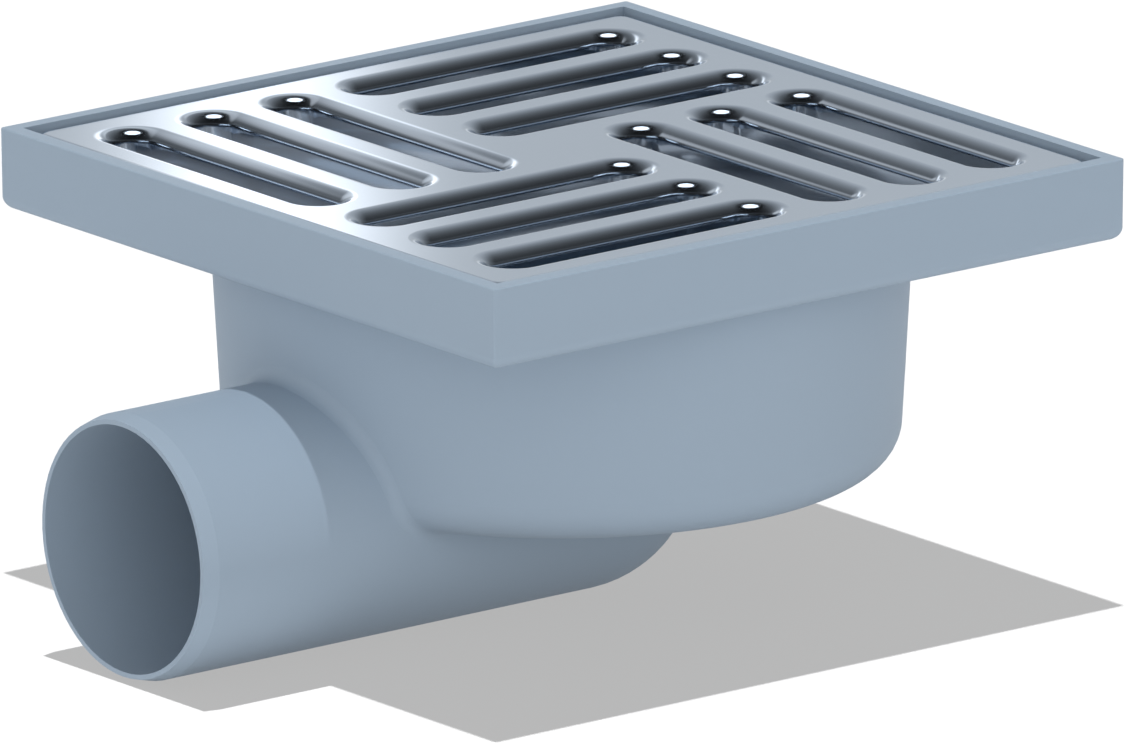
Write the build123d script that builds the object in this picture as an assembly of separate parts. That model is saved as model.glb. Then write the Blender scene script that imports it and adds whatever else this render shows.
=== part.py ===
from build123d import *
import os
from math import cos, radians, sin, sqrt, tan

# Floor drain with a square tray, a round pot and a horizontal outlet spigot.
# Millimetres. The origin is the centre of the tray's top rim, which lies level with the finished
# floor, +Z points up, and the outlet points along -X.

# Tray
tray_side = 147.8            # outside, at the rim
tray_height = 15.6
tray_draft = 0.8             # degrees
tray_corner_radius = 0.6
tray_bottom_radius = 2.4
rim_wall = 3.1
rim_edge_radius = 0.3
floor_wall = 2.2             # floor of the tray, where it meets the pot
floor_slope = 2.0            # degrees, falling to the pot

# Ribs inside the tray that carry the grate
rib_thickness = 2.0
rib_reach = 4.0              # from the inside of the rim
rib_spacing = 48.0
ribs_per_side = 3

# Pot
pot_radius = 65.0            # outside, at the tray's underside
pot_height = 44.6            # below the tray's underside
pot_draft = 3.2              # degrees
pot_edge_radius = 8.0
pot_wall = 2.5

# Outlet: a spigot at the mouth, then a drafted run that ends in a half sphere under the middle of the pot
outlet_diameter = 50.0
outlet_wall = 1.7
outlet_drop = 60.0           # axis below the rim
outlet_reach = 102.6         # mouth from the drain's axis
outlet_draft = 0.1           # degrees, behind the spigot
spigot_length = 34.0
mouth_chamfer = 0.8
mouth_chamfer_length = 3.2
junction_radius = 2.5        # where the outlet leaves the pot

# Seat of the trap in the throat of the pot
seat_depth = 3.0             # countersink of 45 degrees
land_height = 9.0            # cylinder that the seal runs in
seat_fit = 0.2               # between the two cones

# Grate, pressed from one sheet
grate_gap = 0.5              # to the rim, all round
grate_recess = 0.8           # top of the grate below the rim
grate_sheet = 1.5
grate_depth = 5.0
grate_edge_radius = 2.8      # outside of the rolled edges of the slots
grate_rim_radius = 2.0       # outside of the rolled edge all round
grate_corner_radius = 4.0
slot_width = 9.2
slots_per_group = 3
slot_start = 0.4             # centre of a slot's inner end, past the middle of the grate
group_gap = 9.8              # a group's first slot to the ends of the next group's slots
slot_end_border = 9.7        # a slot's outer end to the grate's edge
slot_side_border = 9.1       # a group's last slot to the grate's edge

# Trap cup with its standpipe
cup_wall = 1.8
collar_fit = 0.4             # collar of the cup in the throat
collar_height = 8.0
collar_wall = 4.3
bowl_bottom_radius = 46.0
bowl_edge_radius = 9.0
cup_bottom_gap = 5.5         # between the cup and the pot's floor
standpipe_radius = 20.0
standpipe_height = 30.0      # lip above the cup's underside
lip_radius = 0.6

# Seal ring between collar and throat
groove_depth = 2.4
groove_height = 3.6
groove_drop = 2.0            # below the cone of the flange
seal_fit = 0.05
seal_height = 3.2
seal_round = 1.2

# Bell over the standpipe
bell_radius = 31.0
bell_wall = 1.6
bell_draft = 1.0             # degrees
bell_edge_radius = 5.0
bell_rise = 10.0             # inside of the top above the standpipe's lip
bell_foot_gap = 5.0          # open mouth of the bell above the cup's floor
fin_thickness = 1.6
fin_count = 4
fin_hold = 8.0               # how far a fin reaches down beside the standpipe
fin_fit = 0.3
fin_overlap = 2.6            # how far a fin reaches over the lip
grip_length = 34.0
grip_thickness = 2.4
grip_height = 3.0

# Levels and radii that follow
floor_level = -(tray_height - floor_wall)
pot_bottom = -(tray_height + pot_height)
rim_inside = tray_side / 2 - rim_wall
grate_side = 2 * (rim_inside - grate_gap)
grate_top = -grate_recess
grate_foot = grate_top - grate_depth
slot_end = grate_side / 2 - slot_end_border - slot_width / 2
slot_first = slot_width + group_gap - slot_start
slot_last = grate_side / 2 - slot_side_border - slot_width / 2
slot_pitch = (slot_last - slot_first) / (slots_per_group - 1)
outlet_radius = outlet_diameter / 2
bore_radius = outlet_radius - outlet_wall
land_bottom = floor_level - seat_depth - land_height
land_radius = pot_radius - pot_wall - tan(radians(pot_draft)) * (-tray_height - land_bottom)
seat_radius = land_radius + seat_depth
collar_radius = land_radius - collar_fit
collar_bottom = floor_level - seat_depth - collar_height
cup_inside = collar_radius - collar_wall
cup_bottom = pot_bottom + pot_wall + cup_bottom_gap
lip_level = cup_bottom + standpipe_height
groove_top = floor_level - seat_depth - groove_drop
bell_top = lip_level + bell_rise + bell_wall
bell_foot = cup_bottom + cup_wall + bell_foot_gap

# Boxes and cylinders stand on their place
standing = (Align.CENTER, Align.CENTER, Align.MIN)


def turned(points):
    """A solid of revolution about Z, from a closed outline of (radius, height) points."""
    return revolve(Plane.XZ * make_face(Polyline(*points, close=True)), Axis.Z)


def turned_pot(top, bottom, radius_at_top, edge_radius):
    """A drafted pot, full inside, with its bottom edge rounded."""
    foot = radius_at_top - tan(radians(pot_draft)) * (top - bottom)
    outline = make_face(Polyline((0, top), (radius_at_top, top), (foot, bottom), (0, bottom), close=True))
    corner = outline.vertices().sort_by(Axis.Y)[:2].sort_by(Axis.X)[-1]
    return revolve(Plane.XZ * fillet(corner, edge_radius), Axis.Z)


def outlet_form(radius, mouth_radius, mouth_length):
    """A round bar on the outlet's axis: half sphere, drafted run, spigot, and a mouth of its own radius."""
    spigot_start = outlet_reach - spigot_length
    draft = radians(outlet_draft)
    dome_radius = radius * cos(draft) - spigot_start * sin(draft)
    dome = CenterArc((0, 0), dome_radius, 0, 90 - outlet_draft)
    side = Polyline(dome @ 1, (-spigot_start, radius), (mouth_length - outlet_reach, radius),
                    (-outlet_reach, mouth_radius), (-outlet_reach, 0), dome @ 0)
    return Pos(0, 0, -outlet_drop) * revolve(Plane.XZ * make_face([dome, side]), Axis.X)


def body_outside():
    """The outer form of the moulding, as one full solid."""
    rim = RectangleRounded(tray_side, tray_side, tray_corner_radius)
    block = extrude(rim, -tray_height, taper=tray_draft)
    block = fillet(block.faces().sort_by(Axis.Z)[0].edges(), tray_bottom_radius)
    block = fillet(block.faces().sort_by(Axis.Z)[-1].edges(), rim_edge_radius)
    radius_at_floor = pot_radius + tan(radians(pot_draft)) * floor_wall
    pot = turned_pot(floor_level, pot_bottom, radius_at_floor, pot_edge_radius)
    outlet = outlet_form(outlet_radius, outlet_radius - mouth_chamfer, mouth_chamfer_length)
    lower = pot + outlet
    lower = fillet(new_edges(pot, outlet, combined=lower), junction_radius)
    return block + lower


def body_inside():
    """The hollow of the moulding: tray, countersunk throat, pot and bore."""
    far = tray_side
    rise = tan(radians(floor_slope)) * (far - seat_radius)
    tray = extrude(Rectangle(2 * rim_inside, 2 * rim_inside), -tray_height)
    slope = turned([(0, 0), (far, 0), (far, floor_level + rise), (seat_radius, floor_level),
                    (0, floor_level)])
    throat = turned([(0, 0), (seat_radius, 0), (seat_radius, floor_level),
                     (land_radius, floor_level - seat_depth), (land_radius, land_bottom), (0, land_bottom)])
    pot = turned_pot(land_bottom, pot_bottom + pot_wall, land_radius, pot_edge_radius - pot_wall)
    return (tray & slope) + throat + pot + outlet_form(bore_radius, bore_radius, mouth_chamfer_length)


def grate_ribs():
    """The ribs that stand on the tray's floor, along its four sides, and carry the grate."""
    height = grate_foot + tray_height
    rib = Box(rib_reach, rib_thickness, height)
    rib = Pos(rim_inside - rib_reach / 2, 0, grate_foot - height / 2) * rib
    side = [Pos(0, (i - (ribs_per_side - 1) / 2) * rib_spacing, 0) * rib for i in range(ribs_per_side)]
    return [Rot(0, 0, 90 * turn) * one for turn in range(4) for one in side]


def make_drain_body():
    """Tray, pot and outlet, moulded as one piece."""
    return body_outside() - body_inside() + grate_ribs()


def slot_outline(width, turn, number):
    """One slot of the pinwheel: a rounded slot of the given width, in its place."""
    across = slot_first + slot_pitch * number
    middle = (slot_start + slot_end) / 2
    return Rot(0, 0, 90 * turn) * Pos(middle, across, 0) * SlotCenterToCenter(slot_end - slot_start, width)


def make_grate():
    """The pressed sheet: rolled outer edge, and slots drawn down into walls of their own."""
    places = [(turn, number) for turn in range(4) for number in range(slots_per_group)]
    inner_radius = grate_edge_radius - grate_sheet
    inner_rim_radius = grate_rim_radius - grate_sheet
    inner_side = grate_side - 2 * grate_sheet
    top = Pos(0, 0, grate_top)
    under = Pos(0, 0, grate_top - grate_sheet)
    tray = extrude(top * RectangleRounded(grate_side, grate_side, grate_corner_radius), -grate_depth)
    tray = fillet(tray.faces().sort_by(Axis.Z)[-1].edges(), grate_rim_radius)
    hollow = extrude(under * RectangleRounded(inner_side, inner_side, grate_corner_radius - grate_sheet),
                     -(grate_depth - grate_sheet))
    hollow = fillet(hollow.faces().sort_by(Axis.Z)[-1].edges(), inner_rim_radius)
    for turn, number in places:
        hollow -= extrude(under * slot_outline(slot_width + 2 * grate_sheet, turn, number), -grate_depth)
    inner_edges = hollow.faces().sort_by(Axis.Z)[-1].inner_wires().edges()
    hollow = fillet(inner_edges, inner_radius)
    sheet = tray - hollow
    for turn, number in places:
        sheet -= extrude(top * slot_outline(slot_width, turn, number), -grate_depth)
    return fillet(sheet.faces().sort_by(Axis.Z)[-1].inner_wires().edges(), grate_edge_radius)


def make_trap_cup():
    """The cup that holds the water, with its flange, its collar and the standpipe in its middle."""
    flange = seat_radius - seat_fit * sqrt(2)
    bowl_top = cup_inside + cup_wall
    cone_foot = floor_level - seat_depth
    bowl_floor = cup_bottom + cup_wall
    outside = turned([(0, floor_level), (flange, floor_level), (flange - seat_depth, cone_foot),
                      (collar_radius, cone_foot), (collar_radius, collar_bottom), (bowl_top, collar_bottom),
                      (bowl_bottom_radius, cup_bottom), (0, cup_bottom)])
    outside = fillet(outside.faces().sort_by(Axis.Z)[0].edges(), bowl_edge_radius)
    inside = turned([(0, floor_level), (cup_inside + cup_wall, floor_level),
                     (cup_inside, floor_level - cup_wall), (cup_inside, collar_bottom),
                     (bowl_bottom_radius - cup_wall, bowl_floor), (0, bowl_floor)])
    inside = fillet(inside.faces().sort_by(Axis.Z)[0].edges(), bowl_edge_radius - cup_wall)
    groove_foot = groove_top - groove_height
    groove_radius = collar_radius - groove_depth
    groove = turned([(groove_radius, groove_top), (seat_radius, groove_top), (seat_radius, groove_foot),
                     (groove_radius, groove_foot)])
    foot = Pos(0, 0, cup_bottom)
    standpipe = foot * Cylinder(standpipe_radius, standpipe_height, align=standing)
    bore = foot * Cylinder(standpipe_radius - cup_wall, standpipe_height, align=standing)
    cup = outside - inside - groove + standpipe - bore
    lip = cup.edges().filter_by(GeomType.CIRCLE).filter_by(
        lambda e: abs(e.arc_center.Z - lip_level) < 1e-3 and e.radius < standpipe_radius + 1e-3)
    return fillet(lip, lip_radius)


def make_seal_ring():
    """The rubber ring, drawn as it lies squeezed in its groove."""
    inner = collar_radius - groove_depth + seal_fit
    width = land_radius - seal_fit - inner
    section = RectangleRounded(width, seal_height, seal_round)
    return revolve(Plane.XZ * Pos(inner + width / 2, groove_top - groove_height / 2) * section, Axis.Z)


def make_bell_cap():
    """The bell: a drafted cap, four fins inside that sit on the standpipe's lip, and a grip bar on top."""
    lean = tan(radians(bell_draft))
    reach = bell_top - bell_foot
    inner_radius = bell_radius - bell_wall
    shell = turned([(0, bell_top), (bell_radius - lean * reach, bell_top), (bell_radius, bell_foot),
                    (0, bell_foot)])
    shell = fillet(shell.faces().sort_by(Axis.Z)[-1].edges(), bell_edge_radius)
    roof = bell_top - bell_wall
    hollow = turned([(0, roof), (inner_radius - lean * reach, roof), (inner_radius, bell_foot),
                     (0, bell_foot)])
    hollow = fillet(hollow.faces().sort_by(Axis.Z)[-1].edges(), bell_edge_radius - bell_wall)
    over, beside = standpipe_radius - fin_overlap, standpipe_radius + fin_fit
    foot = lip_level - fin_hold
    fin = make_face(Polyline((over, bell_top), (over, lip_level), (beside, lip_level), (beside, foot),
                             (bell_radius, foot), (bell_radius, bell_top), close=True))
    fin = extrude(Plane.XZ * fin, fin_thickness / 2, both=True) & hollow
    grip = Pos(0, 0, bell_top) * Box(grip_length, grip_thickness, grip_height, align=standing)
    grip = fillet(grip.edges().filter_by(Axis.Z), grip_thickness / 2 - 0.05)
    fins = [Rot(0, 0, 360 / fin_count * turn) * fin for turn in range(fin_count)]
    return shell - hollow + fins + grip


def main():
    """Writes one STEP file for each piece."""
    os.makedirs("parts", exist_ok=True)
    pieces = {
        "drain_body": make_drain_body(),
        "grate": make_grate(),
        "trap_cup": make_trap_cup(),
        "seal_ring": make_seal_ring(),
        "bell_cap": make_bell_cap(),
    }
    for name, piece in pieces.items():
        export_step(piece, f"parts/{name}.step")


main()
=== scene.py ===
import logging
import math
from dataclasses import dataclass
from enum import Enum

import bpy
from mathutils import Matrix, Vector


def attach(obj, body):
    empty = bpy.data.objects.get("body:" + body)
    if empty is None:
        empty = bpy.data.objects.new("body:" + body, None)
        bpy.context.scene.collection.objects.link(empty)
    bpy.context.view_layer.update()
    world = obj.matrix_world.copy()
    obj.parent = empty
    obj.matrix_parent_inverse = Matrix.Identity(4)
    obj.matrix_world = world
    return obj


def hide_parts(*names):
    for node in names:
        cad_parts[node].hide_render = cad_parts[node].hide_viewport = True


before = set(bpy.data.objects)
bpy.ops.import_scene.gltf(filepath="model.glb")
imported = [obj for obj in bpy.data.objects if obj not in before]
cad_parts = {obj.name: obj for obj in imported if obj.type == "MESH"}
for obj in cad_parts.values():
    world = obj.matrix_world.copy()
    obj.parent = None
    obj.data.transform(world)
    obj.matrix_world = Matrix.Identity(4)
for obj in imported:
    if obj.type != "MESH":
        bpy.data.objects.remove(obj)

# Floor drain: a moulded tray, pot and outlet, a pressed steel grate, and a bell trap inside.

LOG = logging.getLogger("floor_drain")
MM = 0.001
WHITE = (1.0, 1.0, 1.0, 1.0)
GREY = (0.5, 0.5, 0.5, 1.0)
Colour = tuple[float, float, float]
Socket = bpy.types.NodeSocket


class Slot(Enum):
    """The record's material slots."""

    BODY = "body_plastic"
    STEEL = "grate_steel"
    TRAP = "trap_plastic"
    RUBBER = "seal_rubber"


class Node(Enum):
    """The nodes of the CAD model."""

    BODY = "drain_body"
    GRATE = "grate"
    CUP = "trap_cup"
    SEAL = "seal_ring"
    BELL = "bell_cap"


class Kind(Enum):
    """The kinds of socket that the node groups use."""

    FLOAT = "NodeSocketFloat"
    INT = "NodeSocketInt"
    COLOUR = "NodeSocketColor"
    VECTOR = "NodeSocketVector"
    GEOMETRY = "NodeSocketGeometry"
    MATERIAL = "NodeSocketMaterial"


def towards(turn: float, height: float) -> Vector:
    """Gives a direction.

    Args:
        turn: degrees about Z, from -Y towards -X when negative.
        height: degrees above the level.

    Returns:
        The unit vector.
    """
    turn, height = math.radians(turn), math.radians(height)
    level = math.cos(height)
    return Vector((level * math.sin(turn), -level * math.cos(turn), math.sin(height)))


class Sheet:
    """A node tree with short calls to add, set and link its nodes."""

    def __init__(self, tree: bpy.types.NodeTree) -> None:
        """Keeps the tree to fill."""
        self.tree = tree

    def add(self, kind: str, **settings: object) -> bpy.types.Node:
        """Adds one node.

        Args:
            kind: the node's type name.
            settings: properties of the node.

        Returns:
            The new node.
        """
        node = self.tree.nodes.new(kind)
        for name, value in settings.items():
            setattr(node, name, value)
        return node

    def put(self, value: object, socket: Socket) -> None:
        """Links a socket, or sets a plain value.

        Args:
            value: an output socket, or a value for the input.
            socket: the input socket.
        """
        if isinstance(value, Socket):
            self.tree.links.new(value, socket)
        else:
            socket.default_value = value

    def math(self, operation: str, *values: object) -> Socket:
        """Adds a Math node.

        Args:
            operation: what the node does.
            values: its inputs, sockets or numbers.

        Returns:
            The result.
        """
        node = self.add("ShaderNodeMath", operation=operation)
        for index, value in enumerate(values):
            self.put(value, node.inputs[index])
        return node.outputs[0]

    def vector(self, x: object = 0.0, y: object = 0.0, z: object = 0.0) -> Socket:
        """Joins three values to a vector.

        Args:
            x: first value or socket.
            y: second value or socket.
            z: third value or socket.

        Returns:
            The vector.
        """
        node = self.add("ShaderNodeCombineXYZ")
        for index, value in enumerate((x, y, z)):
            self.put(value, node.inputs[index])
        return node.outputs[0]

    def run(self, kind: str, links: dict[str, object], out: object = 0,
            **settings: object) -> Socket:
        """Adds a node, fills its inputs and hands back one output.

        Args:
            kind: the node's type name.
            links: values or sockets by input name.
            out: name or number of the output.
            settings: properties of the node.

        Returns:
            The chosen output.
        """
        node = self.add(kind, **settings)
        for name, value in links.items():
            self.put(value, node.inputs[name])
        return node.outputs[out]

    def join(self, *parts: Socket) -> Socket:
        """Joins several geometries.

        Args:
            parts: what it joins.

        Returns:
            The joined geometry.
        """
        node = self.add("GeometryNodeJoinGeometry")
        for part in parts:
            self.put(part, node.inputs[0])
        return node.outputs[0]

    def noise(self, place: Socket, scale: object, detail: float) -> Socket:
        """Adds a noise that is read at a place."""
        return self.run("ShaderNodeTexNoise", {"Vector": place, "Scale": scale, "Detail": detail})


def open_group(name: str, kind: str, inputs: dict[str, tuple[Kind, object]],
               outputs: dict[str, Kind]) -> Sheet:
    """Makes a node group with its sockets.

    Args:
        name: the group's name.
        kind: "ShaderNodeTree" or "GeometryNodeTree".
        inputs: kind and default value of each input.
        outputs: kind of each output.

    Returns:
        The group as a sheet.
    """
    tree = bpy.data.node_groups.new(name, kind)
    for label, (socket_kind, value) in inputs.items():
        socket = tree.interface.new_socket(label, in_out="INPUT", socket_type=socket_kind.value)
        if value is not None:
            socket.default_value = value
    for label, socket_kind in outputs.items():
        tree.interface.new_socket(label, in_out="OUTPUT", socket_type=socket_kind.value)
    return Sheet(tree)


@dataclass(frozen=True)
class Grain:
    """Fine grain of a surface: scale, height, and how far it moves the roughness."""

    scale: float
    height: float
    spread: float


@dataclass(frozen=True)
class Dust:
    """Thin dust on faces that look up."""

    amount: float
    colour: Colour


@dataclass(frozen=True)
class Wear:
    """Paler or brighter worn edges."""

    amount: float
    colour: Colour


@dataclass(frozen=True)
class Finish:
    """One finish: its colour, its gloss and its shared effects."""

    name: str
    slot: Slot
    colour: Colour
    roughness: float
    metallic: float
    specular: float
    grain: Grain
    dust: Dust
    wear: Wear


@dataclass(frozen=True)
class Pattern:
    """A noise: its scale and its detail."""

    scale: float
    detail: float


BODY_PLASTIC = Finish(
    "blue_grey_plastic", Slot.BODY, (0.309, 0.387, 0.474), roughness=0.62, metallic=0.0, specular=0.22,
    grain=Grain(900.0, 0.00001, 0.04), dust=Dust(0.03, (0.42, 0.47, 0.52)),
    wear=Wear(0.10, (0.37, 0.45, 0.54)))
GRATE_STEEL = Finish(
    "polished_steel", Slot.STEEL, (0.60, 0.675, 0.775), roughness=0.13, metallic=1.0, specular=0.5,
    grain=Grain(700.0, 0.0, 0.02), dust=Dust(0.0, (0.5, 0.5, 0.5)),
    wear=Wear(0.0, (0.8, 0.8, 0.8)))
TRAP_PLASTIC = Finish(
    "pale_grey_plastic", Slot.TRAP, (0.62, 0.65, 0.68), roughness=0.48, metallic=0.0, specular=0.4,
    grain=Grain(800.0, 0.00001, 0.05), dust=Dust(0.04, (0.55, 0.56, 0.57)),
    wear=Wear(0.08, (0.72, 0.74, 0.76)))
SEAL_RUBBER = Finish(
    "black_rubber", Slot.RUBBER, (0.030, 0.030, 0.032), roughness=0.82, metallic=0.0, specular=0.3,
    grain=Grain(1200.0, 0.00002, 0.06), dust=Dust(0.05, (0.12, 0.12, 0.12)),
    wear=Wear(0.15, (0.06, 0.06, 0.06)))

GRAIN_DETAIL = 3.0
GRAIN_BUMP = 0.35
SHEEN_PATCHES = Pattern(45.0, 2.0)
DUST_PATCHES = Pattern(60.0, 4.0)
DUST_FACING = (0.3, 0.95)        # upward share of the normal where dust starts and where it is full
WEAR_PATCHES = Pattern(110.0, 3.0)
WEAR_EDGE = (0.53, 0.62)         # sharpness of an edge where wear starts and where it is full


class EffectGroups:
    """The shader node groups that more than one finish uses."""

    def __init__(self) -> None:
        """Builds the three groups."""
        self.grain = self.build_grain()
        self.dust = self.build_dust()
        self.wear = self.build_wear()

    def build_grain(self) -> bpy.types.NodeTree:
        """Builds the grain group.

        Returns:
            The group, with Roughness and Height as its outputs.
        """
        sheet = open_group("fine_grain", "ShaderNodeTree",
                           {"Vector": (Kind.VECTOR, None), "Scale": (Kind.FLOAT, 900.0),
                            "Roughness": (Kind.FLOAT, 0.5), "Spread": (Kind.FLOAT, 0.05)},
                           {"Roughness": Kind.FLOAT, "Height": Kind.FLOAT})
        source = sheet.add("NodeGroupInput").outputs
        fine = sheet.noise(source["Vector"], source["Scale"], GRAIN_DETAIL)
        broad = sheet.noise(source["Vector"], SHEEN_PATCHES.scale, SHEEN_PATCHES.detail)
        both = sheet.math("MULTIPLY", sheet.math("SUBTRACT", broad, 0.5), 2.0)
        rough = sheet.math("ADD", source["Roughness"], sheet.math("MULTIPLY", both, source["Spread"]))
        result = sheet.add("NodeGroupOutput").inputs
        sheet.put(rough, result["Roughness"])
        sheet.put(fine, result["Height"])
        return sheet.tree

    def build_dust(self) -> bpy.types.NodeTree:
        """Builds the dust group.

        Returns:
            The group, with Color as its output.
        """
        sheet = open_group("thin_dust", "ShaderNodeTree",
                           {"Vector": (Kind.VECTOR, None), "Color": (Kind.COLOUR, GREY),
                            "Dust Color": (Kind.COLOUR, GREY), "Amount": (Kind.FLOAT, 0.1)},
                           {"Color": Kind.COLOUR})
        source = sheet.add("NodeGroupInput").outputs
        normal = sheet.add("ShaderNodeNewGeometry").outputs["Normal"]
        facing = sheet.run("ShaderNodeSeparateXYZ", {"Vector": normal}, "Z")
        level = sheet.run("ShaderNodeMapRange", {"Value": facing, "From Min": DUST_FACING[0],
                                                 "From Max": DUST_FACING[1]})
        patch = sheet.noise(source["Vector"], DUST_PATCHES.scale, DUST_PATCHES.detail)
        amount = sheet.math("MULTIPLY", sheet.math("MULTIPLY", level, patch), source["Amount"])
        mixed = sheet.run("ShaderNodeMixRGB", {"Fac": amount, "Color1": source["Color"],
                                               "Color2": source["Dust Color"]})
        sheet.put(mixed, sheet.add("NodeGroupOutput").inputs["Color"])
        return sheet.tree

    def build_wear(self) -> bpy.types.NodeTree:
        """Builds the edge wear group.

        Returns:
            The group, with Color as its output.
        """
        sheet = open_group("edge_wear", "ShaderNodeTree",
                           {"Vector": (Kind.VECTOR, None), "Color": (Kind.COLOUR, GREY),
                            "Worn Color": (Kind.COLOUR, GREY), "Amount": (Kind.FLOAT, 0.1)},
                           {"Color": Kind.COLOUR})
        source = sheet.add("NodeGroupInput").outputs
        edge = sheet.add("ShaderNodeNewGeometry").outputs["Pointiness"]
        level = sheet.run("ShaderNodeMapRange", {"Value": edge, "From Min": WEAR_EDGE[0],
                                                 "From Max": WEAR_EDGE[1]})
        patch = sheet.noise(source["Vector"], WEAR_PATCHES.scale, WEAR_PATCHES.detail)
        amount = sheet.math("MULTIPLY", sheet.math("MULTIPLY", level, patch), source["Amount"])
        mixed = sheet.run("ShaderNodeMixRGB", {"Fac": amount, "Color1": source["Color"],
                                               "Color2": source["Worn Color"]})
        sheet.put(mixed, sheet.add("NodeGroupOutput").inputs["Color"])
        return sheet.tree


class Paint:
    """Makes a material from a finish and puts it on pieces."""

    def __init__(self, groups: EffectGroups) -> None:
        """Keeps the shared shader node groups."""
        self.groups = groups
        self.made: dict[str, bpy.types.Material] = {}

    def material(self, finish: Finish) -> bpy.types.Material:
        """Makes the material of a finish once.

        Args:
            finish: the finish.

        Returns:
            The material.
        """
        if finish.name in self.made:
            return self.made[finish.name]
        material = bpy.data.materials.new(finish.name)
        material.use_nodes = True
        material.diffuse_color = (*finish.colour, 1.0)
        sheet = Sheet(material.node_tree)
        sheet.tree.nodes.clear()
        place = sheet.add("ShaderNodeTexCoord").outputs["Object"]
        wear = self.effect(sheet, self.groups.wear, {"Vector": place, "Color": (*finish.colour, 1.0),
                                                     "Worn Color": (*finish.wear.colour, 1.0),
                                                     "Amount": finish.wear.amount})
        dust = self.effect(sheet, self.groups.dust, {"Vector": place, "Color": wear.outputs["Color"],
                                                     "Dust Color": (*finish.dust.colour, 1.0),
                                                     "Amount": finish.dust.amount})
        grain = self.effect(sheet, self.groups.grain, {"Vector": place, "Scale": finish.grain.scale,
                                                       "Roughness": finish.roughness,
                                                       "Spread": finish.grain.spread})
        shader = sheet.add("ShaderNodeBsdfPrincipled")
        sheet.put(dust.outputs["Color"], shader.inputs["Base Color"])
        sheet.put(grain.outputs["Roughness"], shader.inputs["Roughness"])
        shader.inputs["Metallic"].default_value = finish.metallic
        shader.inputs["Specular IOR Level"].default_value = finish.specular
        if finish.grain.height > 0:
            bump = sheet.run("ShaderNodeBump", {"Strength": GRAIN_BUMP, "Distance": finish.grain.height,
                                                "Height": grain.outputs["Height"]})
            sheet.put(bump, shader.inputs["Normal"])
        sheet.put(shader.outputs[0], sheet.add("ShaderNodeOutputMaterial").inputs["Surface"])
        self.made[finish.name] = material
        return material

    @staticmethod
    def effect(sheet: Sheet, tree: bpy.types.NodeTree, values: dict[str, object]) -> bpy.types.Node:
        """Places a shared group in a material.

        Args:
            sheet: the material's tree.
            tree: the group.
            values: its inputs by name.

        Returns:
            The group node.
        """
        node = sheet.add("ShaderNodeGroup", node_tree=tree)
        for name, value in values.items():
            sheet.put(value, node.inputs[name])
        return node

    def dress(self, piece: bpy.types.Object, finish: Finish) -> bpy.types.Object:
        """Puts a finish's material in every slot of a piece, adding a slot if it has none.

        Args:
            piece: the piece.
            finish: its finish.

        Returns:
            The piece.
        """
        material = self.material(finish)
        if not piece.material_slots:
            piece.data.materials.append(material)
            piece.data.polygons.foreach_set("material_index", [0] * len(piece.data.polygons))
        for slot in piece.material_slots:
            slot.material = material
        return piece


@dataclass
class CadPiece:
    """A piece that is shown as the CAD model has it."""

    node: Node
    finish: Finish

    def build(self, paint: Paint) -> bpy.types.Object:
        """Dresses the node and hands back its object."""
        return paint.dress(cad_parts[self.node.value], self.finish)


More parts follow.
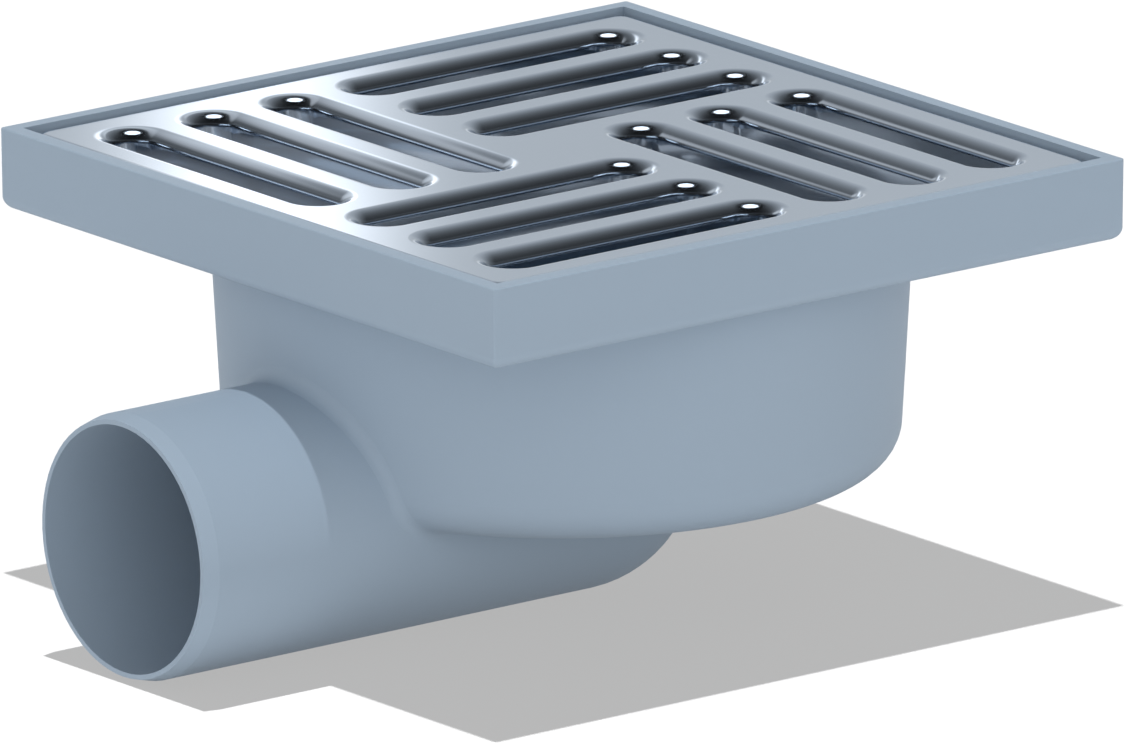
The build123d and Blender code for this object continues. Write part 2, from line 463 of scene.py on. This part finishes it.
@dataclass
class PressedGrate:
    """The grate: one pressed sheet with a rolled rim and four groups of drawn slots. Millimetres."""

    side: float = 140.6
    top: float = -0.8
    depth: float = 5.0
    sheet: float = 1.5
    edge_radius: float = 2.8
    rim_radius: float = 2.0
    corner_radius: float = 4.0
    slot_width: float = 9.2
    slot_start: float = 0.4
    slot_end: float = 56.0
    slot_first: float = 18.6
    slot_pitch: float = 19.0
    slots_per_group: int = 3
    groups: int = 4
    margin: float = 0.06
    end_points: int = 98
    roll_steps: int = 15
    corner_steps: int = 20
    rim_cuts: int = 3
    weld: float = 0.002
    crease_angle: float = 35.0

    def inputs(self) -> dict[str, tuple[Kind, object]]:
        """Lists the tree's named inputs.

        Returns:
            Kind and default value by name.
        """
        lengths = {"Side": self.side, "Top": self.top, "Depth": self.depth, "Sheet": self.sheet,
                   "Edge Radius": self.edge_radius, "Rim Radius": self.rim_radius,
                   "Corner Radius": self.corner_radius, "Slot Width": self.slot_width,
                   "Slot Start": self.slot_start, "Slot End": self.slot_end,
                   "First Slot": self.slot_first, "Slot Pitch": self.slot_pitch, "Margin": self.margin}
        found = {name: (Kind.FLOAT, value * MM) for name, value in lengths.items()}
        counts = {"Slots": self.slots_per_group, "Groups": self.groups, "End Points": self.end_points,
                  "Roll Steps": self.roll_steps, "Corner Steps": self.corner_steps}
        found.update({name: (Kind.INT, value) for name, value in counts.items()})
        found["Material"] = (Kind.MATERIAL, None)
        return found

    def slot_outlines(self, sheet: Sheet, source: object) -> Socket:
        """Draws every slot's outline where the flat of the sheet ends.

        Args:
            sheet: the tree.
            source: the tree's inputs.

        Returns:
            The outlines as curves.
        """
        rolled = sheet.math("ADD", source["Edge Radius"], source["Margin"])
        radius = sheet.math("ADD", sheet.math("DIVIDE", source["Slot Width"], 2.0), rolled)
        ring = sheet.run("GeometryNodeCurvePrimitiveCircle", {"Resolution": source["End Points"],
                                                              "Radius": radius})
        length = sheet.math("SUBTRACT", source["Slot End"], source["Slot Start"])
        half = sheet.math("DIVIDE", length, 2.0)
        place = sheet.add("GeometryNodeInputPosition").outputs[0]
        x = sheet.run("ShaderNodeSeparateXYZ", {"Vector": place}, "X")
        moved = sheet.vector(sheet.math("MULTIPLY", sheet.math("SIGN", x), half))
        slot = sheet.run("GeometryNodeSetPosition", {"Geometry": ring, "Offset": moved})
        middle = sheet.math("ADD", source["Slot Start"], half)
        first = sheet.vector(middle, source["First Slot"])
        step = sheet.vector(y=source["Slot Pitch"])
        line = sheet.run("GeometryNodeMeshLine", {"Count": source["Slots"], "Offset": step,
                                                  "Start Location": first})
        row = sheet.run("GeometryNodeInstanceOnPoints", {"Points": line, "Instance": slot})
        row = sheet.run("GeometryNodeRealizeInstances", {"Geometry": row})
        centre = sheet.run("GeometryNodePoints", {"Count": source["Groups"]})
        quarter = sheet.math("DIVIDE", math.tau, source["Groups"])
        turn = sheet.math("MULTIPLY", sheet.add("GeometryNodeInputIndex").outputs[0], quarter)
        turned = sheet.run("GeometryNodeInstanceOnPoints", {"Points": centre, "Instance": row,
                                                            "Rotation": sheet.vector(z=turn)})
        return sheet.run("GeometryNodeRealizeInstances", {"Geometry": turned})

    def rim_outline(self, sheet: Sheet, source: object) -> Socket:
        """Draws the outline of the flat of the sheet.

        Args:
            sheet: the tree.
            source: the tree's inputs.

        Returns:
            The outline as a curve.
        """
        rolled = sheet.math("ADD", source["Rim Radius"], source["Margin"])
        flat = sheet.math("SUBTRACT", source["Side"], sheet.math("MULTIPLY", rolled, 2.0))
        square = sheet.run("GeometryNodeCurvePrimitiveQuadrilateral", {"Width": flat, "Height": flat})
        radius = sheet.math("SUBTRACT", source["Corner Radius"], rolled)
        rounded = sheet.run("GeometryNodeFilletCurve", {"Curve": square, "Count": source["Corner Steps"],
                                                        "Radius": radius}, mode="POLY")
        return sheet.run("GeometryNodeSubdivideCurve", {"Curve": rounded, "Cuts": self.rim_cuts})

    def section(self, sheet: Sheet, source: object, radius: str) -> Socket:
        """Draws the section of a rolled edge: short flat, roll, wall, foot and back inside.

        Args:
            sheet: the tree.
            source: the tree's inputs.
            radius: name of the input with the roll's outer radius.

        Returns:
            The section as curves.
        """
        margin, outer, thick = source["Margin"], source[radius], source["Sheet"]
        inner = sheet.math("SUBTRACT", outer, thick)
        wall = sheet.math("ADD", margin, outer)
        inside = sheet.math("ADD", margin, inner)
        foot = source["Depth"]
        return sheet.join(
            self.line(sheet, (0.0, 0.0), (margin, 0.0)),
            self.roll(sheet, source, margin, outer, outer, False),
            self.line(sheet, (wall, outer), (wall, foot)),
            self.line(sheet, (wall, foot), (inside, foot)),
            self.line(sheet, (inside, foot), (inside, outer)),
            self.roll(sheet, source, margin, outer, inner, True),
            self.line(sheet, (margin, thick), (0.0, thick)))

    @staticmethod
    def line(sheet: Sheet, start: tuple, end: tuple) -> Socket:
        """Draws one straight part of the section between two points."""
        return sheet.run("GeometryNodeCurvePrimitiveLine", {"Start": sheet.vector(*start),
                                                            "End": sheet.vector(*end)})

    @staticmethod
    def roll(sheet: Sheet, source: object, margin: object, level: object, radius: object,
             back: bool) -> Socket:
        """Draws one rolled part of the section, a quarter of a circle.

        Args:
            sheet: the tree.
            source: the tree's inputs.
            margin: width of the short flat before it.
            level: how far the circle's centre is below the sheet's top.
            radius: its radius.
            back: whether it runs from the wall back to the flat.

        Returns:
            The roll as a curve.
        """
        arc = sheet.add("GeometryNodeCurveArc", mode="RADIUS")
        sheet.put(source["Roll Steps"], arc.inputs["Resolution"])
        sheet.put(radius, arc.inputs["Radius"])
        arc.inputs["Start Angle"].default_value = 0.0 if back else -math.pi / 2
        arc.inputs["Sweep Angle"].default_value = -math.pi / 2 if back else math.pi / 2
        return sheet.run("GeometryNodeSetPosition", {"Geometry": arc.outputs["Curve"],
                                                     "Offset": sheet.vector(margin, level)})

    def tree(self) -> bpy.types.NodeTree:
        """Builds the tree of the grate.

        Returns:
            The tree.
        """
        sheet = open_group("pressed_grate", "GeometryNodeTree", self.inputs(),
                           {"Geometry": Kind.GEOMETRY})
        source = sheet.add("NodeGroupInput").outputs
        slots = self.upright(sheet, self.slot_outlines(sheet, source))
        rim = self.upright(sheet, self.rim_outline(sheet, source))
        slots_back = sheet.run("GeometryNodeReverseCurve", {"Curve": slots})
        slot_rolls = self.swept(sheet, slots_back, self.section(sheet, source, "Edge Radius"))
        rim_roll = self.swept(sheet, rim, self.section(sheet, source, "Rim Radius"))
        outlines = sheet.join(slots, rim)
        flat = sheet.run("GeometryNodeFillCurve", {"Curve": outlines})
        down = sheet.vector(z=sheet.math("MULTIPLY", source["Sheet"], -1.0))
        under = sheet.run("GeometryNodeSetPosition", {"Geometry": flat, "Offset": down})
        under = sheet.run("GeometryNodeFlipFaces", {"Mesh": under})
        whole = sheet.join(slot_rolls, rim_roll, flat, under)
        placed = sheet.run("GeometryNodeSetPosition", {"Geometry": whole,
                                                       "Offset": sheet.vector(z=source["Top"])})
        welded = sheet.run("GeometryNodeMergeByDistance", {"Geometry": placed, "Distance": self.weld * MM})
        smooth = sheet.run("GeometryNodeSetShadeSmooth", {"Geometry": welded})
        soft = sheet.add("FunctionNodeCompare", data_type="FLOAT", operation="LESS_THAN")
        sheet.put(sheet.add("GeometryNodeInputMeshEdgeAngle").outputs[0], soft.inputs[0])
        sheet.put(math.radians(self.crease_angle), soft.inputs[1])
        creased = sheet.run("GeometryNodeSetShadeSmooth",
                            {"Geometry": smooth, "Shade Smooth": soft.outputs[0]}, domain="EDGE")
        real = sheet.run("GeometryNodeRealizeInstances", {"Geometry": creased})
        dressed = sheet.run("GeometryNodeSetMaterial", {"Geometry": real,
                                                        "Material": source["Material"]})
        sheet.put(dressed, sheet.add("NodeGroupOutput").inputs["Geometry"])
        return sheet.tree

    @staticmethod
    def upright(sheet: Sheet, curve: Socket) -> Socket:
        """Holds the normals of curves upright."""
        return sheet.run("GeometryNodeSetCurveNormal", {"Curve": curve}, mode="Z_UP")

    @staticmethod
    def swept(sheet: Sheet, path: Socket, section: Socket) -> Socket:
        """Sweeps the section of a rolled edge along outlines."""
        return sheet.run("GeometryNodeCurveToMesh", {"Curve": path, "Profile Curve": section})

    def build(self, paint: Paint) -> bpy.types.Object:
        """Runs the tree and makes the grate a plain mesh.

        Args:
            paint: the materials.

        Returns:
            The grate's object.
        """
        tree = self.tree()
        start = bpy.data.objects.new("grate_start", bpy.data.meshes.new("grate_start"))
        bpy.context.scene.collection.objects.link(start)
        modifier = start.modifiers.new("pressed_grate", "NODES")
        modifier.node_group = tree
        values = self.inputs()
        for item in tree.interface.items_tree:
            if item.item_type == "SOCKET" and item.in_out == "INPUT":
                value = paint.material(GRATE_STEEL) if item.name == "Material" else values[item.name][1]
                modifier[item.identifier] = value
        bpy.context.view_layer.update()
        ready = start.evaluated_get(bpy.context.evaluated_depsgraph_get())
        mesh = bpy.data.meshes.new_from_object(ready)
        start.modifiers.remove(modifier)
        bpy.data.objects.remove(start)
        mesh.name = "pressed_grate"
        mesh.materials.clear()
        piece = bpy.data.objects.new("pressed_grate", mesh)
        bpy.context.scene.collection.objects.link(piece)
        paint.dress(piece, GRATE_STEEL)
        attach(piece, "root")
        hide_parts(Node.GRATE.value)
        return piece


@dataclass(frozen=True)
class Card:
    """A soft light card that only reflections show: its middle and its two spreads. Millimetres."""

    name: str
    strength: float
    middle: tuple[float, float, float]
    side: tuple[float, float, float]
    rise: tuple[float, float, float]
    side_power: float = 4.0
    rise_power: float = 4.0


CARD_REACH = 6.0                 # half a card in spreads, times its power
CARDS = (
    Card("strip_card", 1.15, (71.5, 185.5, 30.0), (17.3, -13.6, 0.0), (0.0, 0.0, 75.0), side_power=2.0),
    Card("side_card", 0.42, (-30.0, 85.0, 40.0), (54.0, 0.0, 0.0), (0.0, 0.0, 17.0)),
    Card("under_card", 0.18, (-44.0, 42.0, -9.0), (26.0, 0.0, 0.0), (0.0, 34.0, 0.0)))


@dataclass
class Studio:
    """The plain pale floor, the lamps, the light cards and the sky. Millimetres and degrees."""

    floor_level: float = -85.5
    floor_reach: float = 4000.0
    floor_glow: float = 0.449
    floor_bounce: float = 0.30
    floor_colour: float = 0.06
    shadow_lamp: float = 28.0
    shadow_lamp_angle: float = 0.6
    top_lamp: float = 1.5
    top_lamp_angle: float = 0.8
    fill_lamp: float = 0.50
    fill_lamp_angle: float = 60.0
    fill_lamp_height: float = 20.0
    sky_low: float = 1.22
    sky_high: float = 0.24
    view_turn: float = -38.2
    mirror_height: float = 14.87
    mirror_broad: float = 0.53
    mirror_broad_falloff: float = 2.4
    mirror_core: float = 0.02
    mirror_core_falloff: float = 20.0
    mirror_tint: Colour = (0.96, 1.0, 1.03)
    horizon_gain: float = 2.2
    horizon_height: float = 0.14
    band: float = 0.05
    band_height: float = 0.27
    band_spread: float = 0.06
    spark: float = 3.0
    spark_turn: float = 2.9
    spark_height: float = 72.8
    spark_radius: float = 15.0
    spark_width: float = 0.2
    spark_blur: float = 0.006
    dark_inner: float = 24.0
    dark_outer: float = 40.0
    dark_share: float = 0.12

    def build(self) -> None:
        """Builds the floor, the lamps, the light cards and the sky."""
        floor = self.floor()
        self.lamps(floor)
        for card in CARDS:
            self.card(card)
        self.sky()

    @staticmethod
    def stage_plane(name: str, corners: list[Vector], material: bpy.types.Material) -> bpy.types.Object:
        """Adds a flat piece of the studio.

        Args:
            name: its name.
            corners: its four corners, in metres.
            material: its material.

        Returns:
            Its object.
        """
        mesh = bpy.data.meshes.new(name)
        mesh.from_pydata([tuple(corner) for corner in corners], [], [(0, 1, 2, 3)])
        mesh.materials.append(material)
        piece = bpy.data.objects.new(name, mesh)
        bpy.context.scene.collection.objects.link(piece)
        return piece

    def floor(self) -> bpy.types.Object:
        """Builds the floor, which is clear from below.

        Returns:
            The floor's object.
        """
        material = bpy.data.materials.new("pale_floor")
        material.use_nodes = True
        sheet = Sheet(material.node_tree)
        sheet.tree.nodes.clear()
        shade = self.floor_colour
        matte = sheet.run("ShaderNodeBsdfDiffuse", {"Color": (shade, shade, shade, 1.0)})
        path = sheet.add("ShaderNodeLightPath").outputs
        seen = sheet.math("MAXIMUM", path["Is Camera Ray"], path["Is Glossy Ray"])
        strength = self.between(sheet, seen, 0.0, 1.0, self.floor_bounce, self.floor_glow)
        glow = sheet.run("ShaderNodeEmission", {"Color": WHITE, "Strength": strength})
        clear = sheet.add("ShaderNodeBsdfTransparent").outputs[0]
        behind = sheet.add("ShaderNodeNewGeometry").outputs["Backfacing"]
        shown = self.choose(sheet, behind, self.added(sheet, matte, glow), clear)
        sheet.put(shown, sheet.add("ShaderNodeOutputMaterial").inputs["Surface"])
        reach, level = self.floor_reach * MM, self.floor_level * MM
        square = ((-reach, -reach), (reach, -reach), (reach, reach), (-reach, reach))
        corners = [Vector((x, y, level)) for x, y in square]
        return self.stage_plane("studio_floor", corners, material)

    def lamps(self, floor: bpy.types.Object) -> None:
        """Builds the lamp of the floor's shadow, a sharp lamp from above and a soft one from the front.

        Args:
            floor: the floor, which alone takes the first lamp's light.
        """
        above = Vector((0.0, 0.0, 1.0))
        front = towards(self.view_turn, self.fill_lamp_height)
        shadow = self.sun("shadow_lamp", self.shadow_lamp, self.shadow_lamp_angle, above)
        lit = bpy.data.collections.new("floor_only")
        lit.objects.link(floor)
        shadow.light_linking.receiver_collection = lit
        self.sun("top_lamp", self.top_lamp, self.top_lamp_angle, above)
        self.sun("fill_lamp", self.fill_lamp, self.fill_lamp_angle, front)

    @staticmethod
    def sun(name: str, strength: float, angle: float, source: Vector) -> bpy.types.Object:
        """Adds a distant lamp that no mirror shows.

        Args:
            name: its name.
            strength: its strength.
            angle: its apparent size in degrees.
            source: the direction to it.

        Returns:
            The lamp's object.
        """
        data = bpy.data.lights.new(name, "SUN")
        data.energy = strength
        data.angle = math.radians(angle)
        lamp = bpy.data.objects.new(name, data)
        lamp.rotation_euler = source.to_track_quat("Z", "Y").to_euler()
        lamp.visible_glossy = False
        bpy.context.scene.collection.objects.link(lamp)
        return lamp

    def card(self, card: Card) -> bpy.types.Object:
        """Builds a light card, bright in its middle and faded out at its edges.

        Args:
            card: its place and size.

        Returns:
            The card's object.
        """
        material = bpy.data.materials.new(card.name)
        material.use_nodes = True
        sheet = Sheet(material.node_tree)
        sheet.tree.nodes.clear()
        place = sheet.add("ShaderNodeTexCoord").outputs["Object"]
        middle, side, rise = Vector(card.middle) * MM, Vector(card.side) * MM, Vector(card.rise) * MM
        beside = self.offset(sheet, place, middle, side, card.side_power)
        above = self.offset(sheet, place, middle, rise, card.rise_power)
        bell = sheet.math("EXPONENT", sheet.math("MULTIPLY", sheet.math("ADD", beside, above), -1.0))
        strength = sheet.math("MULTIPLY", bell, card.strength)
        glow = sheet.run("ShaderNodeEmission", {"Color": WHITE, "Strength": strength})
        clear = sheet.add("ShaderNodeBsdfTransparent").outputs[0]
        shown = self.added(sheet, glow, clear)
        sheet.put(shown, sheet.add("ShaderNodeOutputMaterial").inputs["Surface"])
        side, rise = side * (CARD_REACH / card.side_power), rise * (CARD_REACH / card.rise_power)
        low, high = middle - rise, middle + rise
        corners = [low - side, low + side, high + side, high - side]
        piece = self.stage_plane(card.name, corners, material)
        piece.visible_camera = False
        piece.visible_diffuse = False
        piece.visible_shadow = False
        piece.visible_transmission = False
        return piece

    def offset(self, sheet: Sheet, place: Socket, middle: Vector, spread: Vector,
               power: float) -> Socket:
        """Takes how far a place is from the middle, in spreads and to a power.

        Args:
            sheet: the tree.
            place: the place.
            middle: the middle, in metres.
            spread: the spread with its direction, in metres.
            power: the power.

        Returns:
            The result.
        """
        direction = spread.normalized()
        along = sheet.math("SUBTRACT", self.share(sheet, place, direction), middle.dot(direction))
        spreads = sheet.math("ABSOLUTE", sheet.math("DIVIDE", along, spread.length))
        return sheet.math("POWER", spreads, power)

    @staticmethod
    def share(sheet: Sheet, vector: Socket, direction: Vector) -> Socket:
        """Takes a vector's share along a direction.

        Args:
            sheet: the tree.
            vector: the vector.
            direction: the unit direction.

        Returns:
            The dot product.
        """
        node = sheet.add("ShaderNodeVectorMath", operation="DOT_PRODUCT")
        sheet.put(vector, node.inputs[0])
        node.inputs[1].default_value = tuple(direction)
        return node.outputs["Value"]

    def sky(self) -> None:
        """Builds the sky: white behind the object, plain for its light, patterned for its mirrors."""
        world = bpy.data.worlds.new("studio_sky")
        world.use_nodes = True
        bpy.context.scene.world = world
        sheet = Sheet(world.node_tree)
        sheet.tree.nodes.clear()
        direction = sheet.add("ShaderNodeTexCoord").outputs["Generated"]
        height = self.share(sheet, direction, Vector((0.0, 0.0, 1.0)))
        level = self.between(sheet, height, 0.0, 1.0, self.sky_low, self.sky_high)
        plain = sheet.run("ShaderNodeBackground", {"Color": WHITE, "Strength": level})
        strength = self.mirrored(sheet, direction, height)
        mirrored = sheet.run("ShaderNodeBackground", {"Color": (*self.mirror_tint, 1.0),
                                                      "Strength": strength})
        white = sheet.run("ShaderNodeBackground", {"Color": WHITE, "Strength": 1.0})
        path = sheet.add("ShaderNodeLightPath").outputs
        first = self.choose(sheet, path["Is Glossy Ray"], plain, mirrored)
        last = self.choose(sheet, path["Is Camera Ray"], first, white)
        sheet.put(last, sheet.add("ShaderNodeOutputWorld").inputs["Surface"])

    def mirrored(self, sheet: Sheet, direction: Socket, height: Socket) -> Socket:
        """Builds what the steel mirrors: a bright far side, a faint band and a lamp in a dark patch.

        Args:
            sheet: the sky's tree.
            direction: the direction into the sky.
            height: its upward share.

        Returns:
            The strength.
        """
        far = self.share(sheet, direction, towards(self.view_turn + 180.0, self.mirror_height))
        missing = sheet.math("SUBTRACT", 1.0, far)
        broad = sheet.math("EXPONENT", sheet.math("MULTIPLY", missing, -self.mirror_broad_falloff))
        core = sheet.math("EXPONENT", sheet.math("MULTIPLY", missing, -self.mirror_core_falloff))
        soft = sheet.math("ADD", sheet.math("MULTIPLY", broad, self.mirror_broad),
                          sheet.math("MULTIPLY", core, self.mirror_core))
        gain = self.between(sheet, sheet.math("ABSOLUTE", height), 0.0, self.horizon_height,
                            self.horizon_gain, 1.0)
        above = sheet.math("DIVIDE", sheet.math("SUBTRACT", height, self.band_height), self.band_spread)
        band = sheet.math("EXPONENT", sheet.math("MULTIPLY", sheet.math("MULTIPLY", above, above), -1.0))
        soft = sheet.math("ADD", sheet.math("MULTIPLY", soft, gain), sheet.math("MULTIPLY", band, self.band))
        lamp = self.share(sheet, direction, towards(self.view_turn + self.spark_turn, self.spark_height))
        dark = self.between(sheet, lamp, self.cosine(self.dark_outer), self.cosine(self.dark_inner),
                            1.0, self.dark_share)
        beside = self.share(sheet, direction, towards(self.view_turn + 90.0, 0.0))
        wide = sheet.math("MULTIPLY", sheet.math("MULTIPLY", beside, beside), self.spark_width)
        edge = self.cosine(self.spark_radius)
        spark = self.between(sheet, sheet.math("ADD", lamp, wide), edge - self.spark_blur,
                             edge + self.spark_blur, 0.0, self.spark)
        return sheet.math("ADD", sheet.math("MULTIPLY", soft, dark), spark)

    @staticmethod
    def cosine(angle: float) -> float:
        """Takes the cosine of an angle in degrees."""
        return math.cos(math.radians(angle))

    @staticmethod
    def between(sheet: Sheet, value: Socket, low: float, high: float, at_low: float,
                at_high: float) -> Socket:
        """Blends from one level, held up to a low value, to another, held from a high value."""
        return sheet.run("ShaderNodeMapRange", {"Value": value, "From Min": low, "From Max": high,
                                                "To Min": at_low, "To Max": at_high})

    @staticmethod
    def added(sheet: Sheet, first: Socket, second: Socket) -> Socket:
        """Adds two shaders.

        Args:
            sheet: the tree.
            first: one shader.
            second: the other.

        Returns:
            Their sum.
        """
        node = sheet.add("ShaderNodeAddShader")
        sheet.put(first, node.inputs[0])
        sheet.put(second, node.inputs[1])
        return node.outputs[0]

    @staticmethod
    def choose(sheet: Sheet, test: Socket, no: Socket, yes: Socket) -> Socket:
        """Picks one of two shaders.

        Args:
            sheet: the tree.
            test: what decides, 0 or 1.
            no: the shader at 0.
            yes: the shader at 1.

        Returns:
            The picked shader.
        """
        node = sheet.add("ShaderNodeMixShader")
        sheet.put(test, node.inputs[0])
        sheet.put(no, node.inputs[1])
        sheet.put(yes, node.inputs[2])
        return node.outputs[0]


@dataclass
class View:
    """The camera: a long lens from far away, at the angle of the photograph. Millimetres and degrees."""

    azimuth: float = -38.27
    elevation: float = 15.25
    roll: float = -0.144
    frame_width: float = 208.66
    distance: float = 6365.0
    aim_right: float = 0.774
    aim_up: float = -42.19
    sensor: float = 36.0
    clip_start: float = 500.0
    clip_end: float = 30000.0

    def build(self) -> bpy.types.Object:
        """Builds the camera.

        Returns:
            The camera's object.
        """
        back = towards(self.azimuth, self.elevation)
        right = towards(self.azimuth + 90.0, 0.0)
        right.rotate(Matrix.Rotation(math.radians(self.roll), 3, back))
        up = back.cross(right)
        data = bpy.data.cameras.new("camera")
        data.sensor_width = self.sensor
        data.lens = self.sensor * self.distance / self.frame_width
        data.clip_start, data.clip_end = self.clip_start * MM, self.clip_end * MM
        data.dof.use_dof = False
        camera = bpy.data.objects.new("camera", data)
        bpy.context.scene.collection.objects.link(camera)
        place = (right * self.aim_right + up * self.aim_up + back * self.distance) * MM
        basis = Matrix((right, up, back)).transposed().to_4x4()
        camera.matrix_world = Matrix.Translation(place) @ basis
        bpy.context.scene.camera = camera
        return camera


def report(piece: bpy.types.Object) -> None:
    """Reports one piece with its faces and finishes."""
    finishes = [material.name for material in piece.data.materials]
    LOG.info("%s: %d faces, %s", piece.name, len(piece.data.polygons), finishes)


def main() -> None:
    """Builds the drain, the studio and the camera in order."""
    logging.basicConfig(level=logging.INFO, format="%(message)s")
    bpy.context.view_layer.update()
    bpy.context.scene.view_settings.view_transform = "Standard"
    paint = Paint(EffectGroups())
    pieces = [CadPiece(Node.BODY, BODY_PLASTIC), CadPiece(Node.CUP, TRAP_PLASTIC),
              CadPiece(Node.BELL, TRAP_PLASTIC), CadPiece(Node.SEAL, SEAL_RUBBER),
              CadPiece(Node.GRATE, GRATE_STEEL), PressedGrate()]
    for piece in pieces:
        report(piece.build(paint))
    Studio().build()
    View().build()


if __name__ == "__main__":
    main()
